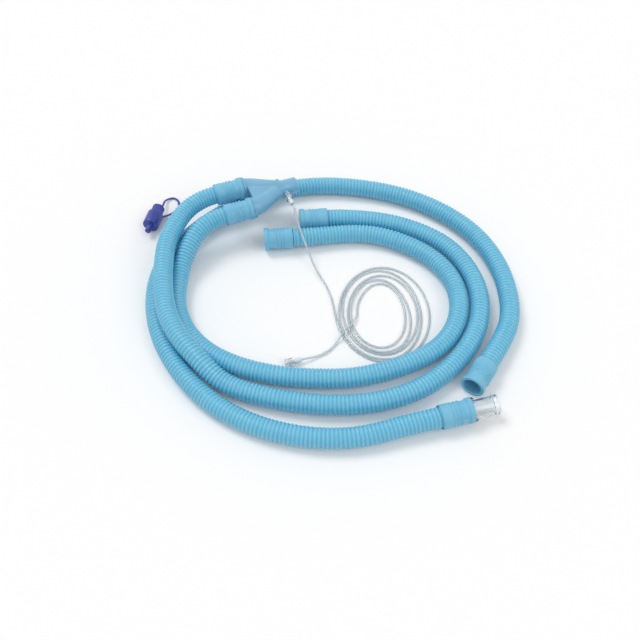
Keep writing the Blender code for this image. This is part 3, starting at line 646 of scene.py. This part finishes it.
def cuff_profile():
    """A cuff's section, its ribs and rounded edges, from its hose end to its mouth and back."""
    end = CUFF_LENGTH
    web = CUFF_MOUTH_DEPTH + CUFF_WEB
    sleeve = SOCKET_RADIUS + CUFF_WALL
    outer = [(sleeve, end), (sleeve, web + CUFF_SLEEVE_FOOT)]
    for k in range(CUFF_RIBS):
        foot = web + CUFF_RIB_START - k * CUFF_RIB_PITCH
        top = foot - CUFF_RIB_SLOPE
        outer += [(CUFF_GRIP_RADIUS, foot), (CUFF_RIB_RADIUS, top),
                  (CUFF_RIB_RADIUS, top - CUFF_RIB_TOP),
                  (CUFF_GRIP_RADIUS, top - CUFF_RIB_TOP - CUFF_RIB_SLOPE)]
    outer += [(CUFF_GRIP_RADIUS, CUFF_BEAD_LENGTH + CUFF_BEAD_SLOPE),
              (CUFF_BEAD_RADIUS, CUFF_BEAD_LENGTH), (CUFF_BEAD_RADIUS, 0.0)]
    inner = [(MALE_ROOT_RADIUS + TAPER_GAP, 0.0), (MALE_TIP_RADIUS + TAPER_GAP, CUFF_MOUTH_DEPTH),
             (GAS_BORE_RADIUS, CUFF_MOUTH_DEPTH), (GAS_BORE_RADIUS, web), (SOCKET_RADIUS, web),
             (SOCKET_RADIUS, end)]
    return rounded(outer + inner, CUFF_ROUNDING)


def make_cuff(name, cuff, material):
    return turned_piece(f"{name}_sleeve", cuff_profile(), standing(*cuff), material,
                        [name])


def make_bag_connector(cuff, material):
    """The clear connector: a taper in its cuff, a flange, and a beaded neck for the bag."""
    mouth, to_hose = cuff
    back = -FLANGE_WIDTH
    end = back - BAG_NECK_LENGTH
    profile = [(MALE_TIP_RADIUS, MALE_LENGTH), (MALE_ROOT_RADIUS, 0.0), (FLANGE_RADIUS, 0.0),
               (FLANGE_RADIUS, back), (MALE_ROOT_RADIUS, back), (MALE_ROOT_RADIUS, end + BAG_BEAD_FOOT),
               (BAG_BEAD_RADIUS, end + BAG_BEAD_BACK), (BAG_BEAD_RADIUS, end + BAG_BEAD_EDGE),
               (BAG_BEAD_RADIUS - BAG_BEAD_EDGE, end), (GAS_BORE_RADIUS, end),
               (GAS_BORE_RADIUS, MALE_LENGTH)]
    place = standing(mouth - to_hose * SEAT_GAP, to_hose)
    turned_piece("bag_connector_body", rounded(profile, CONNECTOR_ROUNDING), place, material,
                 ["bag_connector"])


# Y-piece, in its own frame: X from the arms' roots to the stem, Y across the arms

def limb_offset(share):
    """How far a limb's middle is from the axis, at a share of the fan's length."""
    half = Y_ARM_SPACING / 2
    ease = Y_STRAIGHTNESS * share + (1 - Y_STRAIGHTNESS) * share ** 2 * (3 - 2 * share)
    return half + (Y_NECK_OFFSET - half) * ease


def y_limb(name, side, radii, reach, end):
    """One limb's tube or bore, from outside the arm's root to a share of the fan."""
    share = np.linspace(0.0, end, Y_LIMB_RINGS)
    path = np.stack([share * Y_FAN_LENGTH, side * limb_offset(share), np.zeros_like(share)], axis=1)
    path = np.vstack([path[0] - np.array([reach, 0.0, 0.0]), path])
    size = np.concatenate([[radii[0]], radii[0] + (radii[1] - radii[0]) * share])
    return skin(name, circles(path, size, Y_LIMB_SIDES), closed=False)


def y_web():
    """The web that fills the fan between the limbs, with a round notch at the arms."""
    share = np.linspace(0.0, 1.0, Y_WEB_STEPS)
    upper = list(zip(share * Y_FAN_LENGTH, limb_offset(share)))
    lower = [(x, -y) for x, y in upper[::-1]]
    turn = np.linspace(-math.pi / 2, math.pi / 2, Y_NOTCH_STEPS)
    reach = Y_ARM_SPACING / 2 * Y_NOTCH_SHARE
    notch = [(Y_NOTCH_DEPTH * math.cos(a), reach * math.sin(a)) for a in turn]
    outline = np.array(upper + lower + notch)
    faces = [np.column_stack([outline, np.full(len(outline), z)])
             for z in (-Y_WEB_THICKNESS / 2, Y_WEB_THICKNESS / 2)]
    return skin("y_web", np.array(faces), closed=False)


def y_arm(side):
    """A male taper with the collar that stops its cuff, hollow where the bore is cut."""
    within = GAS_BORE_RADIUS / 2
    tip = -Y_COLLAR_WIDTH - MALE_LENGTH
    profile = [(within, Y_SHOULDER), (Y_COLLAR_RADIUS - Y_SHOULDER, Y_SHOULDER),
               (Y_COLLAR_RADIUS, 0.0), (Y_COLLAR_RADIUS, -Y_COLLAR_WIDTH + Y_EDGE),
               (Y_COLLAR_RADIUS - Y_EDGE, -Y_COLLAR_WIDTH), (MALE_ROOT_RADIUS, -Y_COLLAR_WIDTH),
               (MALE_TIP_RADIUS, tip + Y_TAPER_EDGE), (MALE_TIP_RADIUS - Y_TAPER_EDGE, tip),
               (within, tip)]
    mesh = skin("y_arm", turned_rings(profile, Y_SEGMENTS), closed=True)
    mesh.transform(standing((0.0, side * Y_ARM_SPACING / 2, 0.0), (1.0, 0.0, 0.0)))
    return mesh


def axis_turned(name, profile, origin, direction, segments=Y_SEGMENTS):
    """A solid turned piece whose section ends just off its axis."""
    thin = [(max(radius, AXIS_RADIUS), height) for radius, height in profile]
    mesh = skin(name, turned_rings(thin, segments), closed=False)
    mesh.transform(standing(origin, direction))
    return mesh


def on_stem(name, profile, back):
    """A solid turned about the stem's axis, which starts so far back inside the fan."""
    return axis_turned(name, profile, (Y_FAN_LENGTH - back, 0.0, 0.0), (1.0, 0.0, 0.0))


def on_boss(name, profile):
    """A solid turned about the luer boss's axis."""
    return axis_turned(name, profile, (Y_FAN_LENGTH + BOSS_ALONG, 0.0, 0.0), (0.0, -1.0, 0.0),
                       BOSS_SEGMENTS)


def y_stem():
    """The patient port's tube with its stop collar."""
    end = Y_STEM_LENGTH
    profile = [(0.0, end), (Y_STEM_TIP_RADIUS - Y_EDGE, end), (Y_STEM_TIP_RADIUS, end - Y_RIM_RUN),
               (Y_STEM_ROOT_RADIUS, Y_COLLAR_WIDTH), (Y_COLLAR_RADIUS - Y_EDGE, Y_COLLAR_WIDTH),
               (Y_COLLAR_RADIUS, Y_COLLAR_WIDTH - Y_EDGE), (Y_COLLAR_RADIUS, 0.0),
               (Y_NECK_RADIUS, -Y_STEM_FOOT), (0.0, -Y_STEM_FOOT - END_RISE)]
    return on_stem("y_stem", profile, Y_STEM_BACK)


def y_port():
    """The way through the patient port."""
    profile = [(0.0, Y_PORT_RUN), (Y_PORT_RADIUS, Y_PORT_RUN), (Y_PORT_RADIUS * Y_PORT_TAPER, 0.0),
               (0.0, -END_RISE)]
    return on_stem("y_port", profile, Y_PORT_BACK)


def y_boss():
    """The luer boss, with the flare at its foot."""
    profile = [(0.0, BOSS_REACH), (BOSS_RADIUS - BOSS_EDGE, BOSS_REACH),
               (BOSS_RADIUS, BOSS_REACH - BOSS_EDGE_RUN), (BOSS_RADIUS, BOSS_REACH - BOSS_SPIGOT),
               (BOSS_RADIUS + BOSS_FLARE, BOSS_REACH - BOSS_FLARE_END),
               (BOSS_RADIUS + BOSS_FOOT_FLARE, BOSS_FOOT), (0.0, BOSS_FOOT)]
    return on_boss("y_boss", profile)


def y_luer():
    """The way through the luer boss."""
    profile = [(0.0, BOSS_BORE_TO), (BOSS_BORE, BOSS_BORE_TO), (BOSS_BORE, BOSS_BORE_FROM),
               (0.0, BOSS_BORE_FROM - END_RISE)]
    return on_boss("y_luer", profile)


def carved(mesh, joined, cut):
    """The mesh with some meshes joined to it and then others cut from it."""
    body = bpy.data.objects.new(mesh.name, mesh)
    bpy.context.scene.collection.objects.link(body)
    tools, groups = [], []
    for operation, meshes in (("UNION", joined), ("DIFFERENCE", cut)):
        group = bpy.data.collections.new(operation)
        bpy.context.scene.collection.children.link(group)
        groups.append(group)
        for other in meshes:
            tool = bpy.data.objects.new(other.name, other)
            group.objects.link(tool)
            tools.append(tool)
        step = body.modifiers.new(operation, "BOOLEAN")
        step.operation = operation
        step.solver = "EXACT"
        step.operand_type = "COLLECTION"
        step.collection = group
    bpy.context.view_layer.update()
    shape = body.evaluated_get(bpy.context.evaluated_depsgraph_get())
    made = sound(bpy.data.meshes.new_from_object(shape), SLIVER_WELD)
    for item in tools + [body]:
        bpy.data.objects.remove(item, do_unlink=True)
    for group in groups:
        bpy.data.collections.remove(group)
    return made


def make_y_piece(material):
    reach = Y_COLLAR_WIDTH / 2
    past = Y_COLLAR_WIDTH + MALE_LENGTH + Y_BORE_PAST
    limb = (Y_LIMB_RADIUS, Y_NECK_RADIUS)
    bore = (GAS_BORE_RADIUS, Y_NECK_BORE)
    joined = [y_limb("y_limb", -1, limb, reach, 1.0), y_web(), y_arm(1), y_arm(-1), y_stem(), y_boss()]
    cut = [y_limb("y_bore", side, bore, past, Y_BORE_END) for side in (1, -1)]
    cut += [y_port(), y_luer()]
    mesh = carved(y_limb("y_body", 1, limb, reach, 1.0), joined, cut)
    mesh.transform(y_frame())
    add_piece("y_piece_moulding", mesh, material, ["y_piece"], Y_SHARP_ANGLE)


# Sampling line

def coil_route():
    """The wound line: loose, uneven turns on the floor, from the outside inwards."""
    points = []
    steps = COIL_TURNS * COIL_STEPS_PER_TURN
    for i in range(steps + 1):
        turns = i / COIL_STEPS_PER_TURN
        angle = COIL_START + 2 * math.pi * turns
        pitch = COIL_PITCH + COIL_LOOSENESS * math.cos(angle - COIL_LOOSE_SIDE)
        stray = COIL_WANDER * math.sin(2 * math.pi * COIL_WANDER_RATE * turns)
        inset = COIL_INSET + turns * pitch + max(stray, -COIL_WANDER_LIMIT * turns * pitch)
        points.append((COIL_CENTRE[0] + (COIL_OUTER[0] - inset) * math.cos(angle),
                       COIL_CENTRE[1] + (COIL_OUTER[1] - inset) * math.sin(angle), LINE_LIE))
    return points


def laid(path):
    """The line with its heights raised where it lies on what was laid down before it."""
    path = path.copy()
    spacing = run_of(path)[-1] / (len(path) - 1)
    apart_by = round(LINE_NEAR / spacing)
    half = round(LINE_HUMP / spacing)
    bell = np.hanning(2 * half + 1) / np.hanning(2 * half + 1).sum()
    free = path[:, 2].copy()
    for _ in range(LAYING_ROUNDS):
        needed = free.copy()
        for i in range(apart_by, len(path)):
            before = path[:i - apart_by]
            apart = np.hypot(before[:, 0] - path[i, 0], before[:, 1] - path[i, 1])
            under = apart < LINE_REST
            if under.any():
                rests = before[under, 2] + np.sqrt(LINE_REST ** 2 - apart[under] ** 2)
                needed[i] = max(needed[i], rests.max())
        rise = np.pad(needed - free, half, mode="edge")
        top = np.array([rise[i:i + 2 * half + 1].max() for i in range(len(path))])
        path[:, 2] = free + np.convolve(np.pad(top, half, mode="edge"), bell, mode="valid")
    return path


def line_path():
    """The whole line, from the Y-piece's fitting through the coil to the monitor's fitting."""
    seat = LUER_LENGTH - LUER_SOCKET_DEPTH + SEAT_GAP
    free = LUER_LENGTH + SOCKET_RUN
    start, start_out = patient_luer()
    end, end_out = monitor_luer()
    coil = coil_route()
    inner = coil[-1]
    crossing = [(inner[0] + x, inner[1] + y, LINE_LIE) for x, y in COIL_CROSSING]
    points = [start + start_out * free] + [from_ring(*p) for p in PATIENT_LEAD_ROUTE]
    points += [from_ring(*p) for p in coil[COIL_LEAD_IN:] + crossing + MONITOR_LEAD_ROUTE]
    points += [end + end_out * free]
    middle = smooth_curve(points, LINE_CURVE_STEP, start_out, -end_out)
    first = np.array(start + start_out * seat)
    last = np.array(end + end_out * seat)
    return laid(resample(np.vstack([first, middle, last]), LINE_STEP))


def make_line(material):
    path = line_path()
    mesh = skin("sampling_line", circles(path, np.full(len(path), LINE_RADIUS), LINE_SIDES), False)
    nodes = ["sampling_line_coil", "sampling_line_lead_patient", "sampling_line_lead_monitor"]
    line = add_piece("sampling_line", mesh, material, nodes, TUBE_SHARP_ANGLE)


def luer_hub_profile():
    """A hub's section: tip, flange, neck and grip, with the bore and the line's socket."""
    flange = SEAT_GAP
    neck = flange + LUER_FLANGE_WIDTH
    grip = neck + LUER_NECK_LENGTH
    end = grip + LUER_GRIP_LENGTH
    tip = flange - LUER_TIP_LENGTH
    seat = end - LUER_SOCKET_DEPTH
    socket = LINE_RADIUS + SEAT_GAP
    profile = [(LUER_END_RADIUS, end), (LUER_GRIP_RADIUS, end - LUER_END_TAPER),
               (LUER_GRIP_RADIUS, grip), (LUER_NECK_RADIUS, grip - LUER_SHOULDER),
               (LUER_NECK_RADIUS, neck), (LUER_FLANGE_RADIUS, neck), (LUER_FLANGE_RADIUS, flange),
               (LUER_TIP_RADIUS, flange), (LUER_TIP_END_RADIUS, tip), (LUER_BORE, tip),
               (LUER_BORE, seat), (socket, seat), (socket, end)]
    return rounded(profile, LUER_ROUNDING)


def luer_collar_profile():
    """A collar's section: its sleeve over the boss and its end wall behind the hub's flange."""
    wall = 2 * SEAT_GAP + LUER_FLANGE_WIDTH
    end = wall + COLLAR_END_WALL
    hole = LUER_NECK_RADIUS + SEAT_GAP
    profile = [(COLLAR_RADIUS, end), (COLLAR_RADIUS, -COLLAR_REACH), (COLLAR_INNER, -COLLAR_REACH),
               (COLLAR_INNER, wall), (hole, wall), (hole, end)]
    return rounded(profile, LUER_ROUNDING)


def stretched(profile, heights):
    """The section with points at these heights too, on each run that is level with the axis."""
    made = []
    for i, point in enumerate(profile):
        made.append(point)
        after = profile[(i + 1) % len(profile)]
        if abs(point[0] - after[0]) < SAME:
            inner = [h for h in heights if min(point[1], after[1]) < h < max(point[1], after[1])]
            inner.sort(reverse=point[1] > after[1])
            made += [(point[0], h) for h in inner]
    return made


def fluted(profile, count, depth, low, high):
    """The section with points where flutes fade in, and what they cut from its outer side."""
    fades = [height + way * FLUTE_FADE for height in (low, high) for way in (-1, 1)]
    profile = stretched(profile, fades)
    outer = max(radius for radius, height in profile if low < height < high)

    def cut(turn, height, radius):
        if radius < outer - SAME or not low < height < high:
            return 0.0
        return depth * (0.5 - 0.5 * np.cos(count * turn))
    return profile, cut


def make_luer(end_name, luer, hub_material, collar_material):
    """A fitting of the line: its hub, and the fluted collar that turns on it."""
    place = standing(*luer)
    hub = turned_piece(f"luer_hub_{end_name}_body", luer_hub_profile(), place, hub_material,
                       [f"luer_hub_{end_name}"], SMALL_SEGMENTS)
    profile, flutes = fluted(luer_collar_profile(), COLLAR_FLUTES, COLLAR_FLUTE_DEPTH, *COLLAR_FLUTED)
    collar = turned_piece(f"luer_collar_{end_name}_ring", profile, place, collar_material,
                          [f"luer_collar_{end_name}"],
                          COLLAR_FLUTES * FLUTE_SEGMENTS, flutes)
    return [hub, collar]


# Port plug

def plug_profile():
    """The plug's section: its recess, block, tapered body and tip."""
    block = -PLUG_BLOCK_LENGTH
    shoulder = block - PLUG_BODY_LENGTH
    tip = shoulder - PLUG_TIP_LENGTH
    profile = [(AXIS_RADIUS, -PLUG_RECESS_DEPTH), (PLUG_RECESS_RADIUS, -PLUG_RECESS_DEPTH),
               (PLUG_RECESS_RADIUS, 0.0), (PLUG_BLOCK_RADIUS, 0.0), (PLUG_BLOCK_RADIUS, block),
               (PLUG_BODY_RADIUS, block), (PLUG_BODY_TIP_RADIUS, shoulder),
               (PLUG_TIP_RADIUS, shoulder), (PLUG_TIP_RADIUS * PLUG_TIP_TAPER, tip),
               (AXIS_RADIUS, tip)]
    return rounded(profile, PLUG_ROUNDING, closed=False)


def make_plug(material):
    """The port plug with its block fluted, lying on its side."""
    profile, flutes = fluted(plug_profile(), PLUG_FLUTES, PLUG_FLUTE_DEPTH,
                             PLUG_FLUTE_MARGIN - PLUG_BLOCK_LENGTH, -PLUG_FLUTE_MARGIN)
    rings = turned_rings(profile, PLUG_FLUTES * FLUTE_SEGMENTS, flutes)
    mesh = sound(skin("port_plug", rings, closed=False), AXIS_WELD)
    origin = from_ring(PLUG_PLACE[0] / MM, PLUG_PLACE[1] / MM, PLUG_BODY_RADIUS / MM)
    mesh.transform(standing(origin, -heading(PLUG_HEADING)))
    add_piece("port_plug_body", mesh, material, ["port_plug"])


def make_strap(material):
    """The plug's strap, a flat band that loops back to it."""
    path = smooth_curve([from_ring(*p) for p in STRAP_ROUTE], STRAP_STEP)
    band = np.full(len(path), STRAP_HALF_WIDTH)
    mesh = skin("port_plug_strap", circles(path, band, STRAP_SIDES, STRAP_FLATNESS), False)
    add_piece("port_plug_strap", mesh, material, ["port_plug"], TUBE_SHARP_ANGLE)


# Stage, light and camera

def seen_directly(tree):
    """One for rays from the camera, or through and off glossy or clear surfaces, else nought."""
    light_path = node(tree, "ShaderNodeLightPath")
    total = light_path.outputs["Is Camera Ray"]
    for kind in ("Is Glossy Ray", "Is Transmission Ray"):
        either = node(tree, "ShaderNodeMath", operation="MAXIMUM")
        tree.links.new(total, either.inputs[0])
        tree.links.new(light_path.outputs[kind], either.inputs[1])
        total = either.outputs["Value"]
    return total


def make_stage():
    """A plain floor that is white where it is looked at, and keeps the object's shadow."""
    bpy.ops.mesh.primitive_plane_add(size=FLOOR_SIZE, location=(0.0, 0.0, -FLOOR_DROP))
    floor = bpy.context.object
    floor.name = "floor"
    paint = bpy.data.materials.new("floor_white")
    paint.use_nodes = True
    tree = paint.node_tree
    plain = tree.nodes["Principled BSDF"]
    looked_at = node(tree, "ShaderNodeBsdfPrincipled")
    for shader, tone in ((plain, FLOOR_TONE), (looked_at, FLOOR_WHITE)):
        shader.inputs["Base Color"].default_value = (tone, tone, tone, 1.0)
        shader.inputs["Roughness"].default_value = 0.9
        shader.inputs["Specular IOR Level"].default_value = 0.1
    looked_at.inputs["Emission Color"].default_value = (1.0, 1.0, 1.0, 1.0)
    looked_at.inputs["Emission Strength"].default_value = FLOOR_GLOW
    mix = node(tree, "ShaderNodeMixShader")
    tree.links.new(seen_directly(tree), mix.inputs[0])
    tree.links.new(plain.outputs["BSDF"], mix.inputs[1])
    tree.links.new(looked_at.outputs["BSDF"], mix.inputs[2])
    tree.links.new(mix.outputs["Shader"], tree.nodes["Material Output"].inputs["Surface"])
    floor.data.materials.append(paint)


def add_lamp(name, place, spread_degrees, strength):
    """A broad, even light from a far lamp in the direction of the place."""
    light = bpy.data.lights.new(name, "SUN")
    light.angle = math.radians(spread_degrees)
    light.energy = strength
    lamp = bpy.data.objects.new(name, light)
    bpy.context.scene.collection.objects.link(lamp)
    lamp.location = place
    lamp.rotation_euler = Vector(place).to_track_quat("Z", "Y").to_euler()


def make_light():
    """An even sky that is white where it is looked at, and two lamps."""
    world = bpy.context.scene.world or bpy.data.worlds.new("world")
    bpy.context.scene.world = world
    world.use_nodes = True
    tree = world.node_tree
    lighting = tree.nodes["Background"]
    backdrop = node(tree, "ShaderNodeBackground")
    for sky, strength in ((lighting, SKY_STRENGTH), (backdrop, 1.0)):
        sky.inputs["Color"].default_value = (1.0, 1.0, 1.0, 1.0)
        sky.inputs["Strength"].default_value = strength
    mix = node(tree, "ShaderNodeMixShader")
    tree.links.new(seen_directly(tree), mix.inputs[0])
    tree.links.new(lighting.outputs["Background"], mix.inputs[1])
    tree.links.new(backdrop.outputs["Background"], mix.inputs[2])
    tree.links.new(mix.outputs["Shader"], tree.nodes["World Output"].inputs["Surface"])
    add_lamp("key", KEY_PLACE, KEY_SPREAD, KEY_STRENGTH)
    add_lamp("fill", FILL_PLACE, FILL_SPREAD, FILL_STRENGTH)


def make_camera():
    """The camera of the photograph's fit."""
    data = bpy.data.cameras.new("camera")
    data.lens = CAMERA_LENS
    data.sensor_width = SENSOR
    camera = bpy.data.objects.new("camera", data)
    bpy.context.scene.collection.objects.link(camera)
    camera.location = (*CAMERA_FOOT, CAMERA_HEIGHT)
    camera.rotation_euler = (math.pi / 2 - CAMERA_PITCH, 0.0, 0.0)
    bpy.context.scene.camera = camera
    bpy.context.scene.view_settings.view_transform = "Standard"


def main():
    make_camera()
    make_stage()
    make_light()
    finish = make_materials()

    cuffs = {"y_cuff_inspiratory": y_cuff(-1), "y_cuff_expiratory": y_cuff(1),
             "machine_cuff_inspiratory": floor_cuff(MACHINE_CUFF_INSPIRATORY),
             "machine_cuff_expiratory": floor_cuff(MACHINE_CUFF_EXPIRATORY),
             "bag_hose_cuff_a": floor_cuff(BAG_CUFF_A), "bag_hose_cuff_b": floor_cuff(BAG_CUFF_B)}
    sleeves = {name: make_cuff(name, cuff, finish["cuff"]) for name, cuff in cuffs.items()}

    make_y_piece(finish["y"])
    make_bag_connector(cuffs["bag_hose_cuff_b"], finish["clear"])
    hoses = {"inspiratory_hose": ("y_cuff_inspiratory", INSPIRATORY_ROUTE, "machine_cuff_inspiratory"),
             "expiratory_hose": ("y_cuff_expiratory", EXPIRATORY_ROUTE, "machine_cuff_expiratory"),
             "bag_hose": ("bag_hose_cuff_a", BAG_ROUTE, "bag_hose_cuff_b")}
    for name, (start, route, end) in hoses.items():
        make_hose(name, cuffs[start], route, cuffs[end], finish["hose"])

    fittings = make_luer("patient", patient_luer(), finish["hub"], finish["clear"])
    fittings += make_luer("monitor", monitor_luer(), finish["hub"], finish["clear"])
    make_line(finish["line"])
    make_plug(finish["plug"])
    make_strap(finish["plug"])


main()
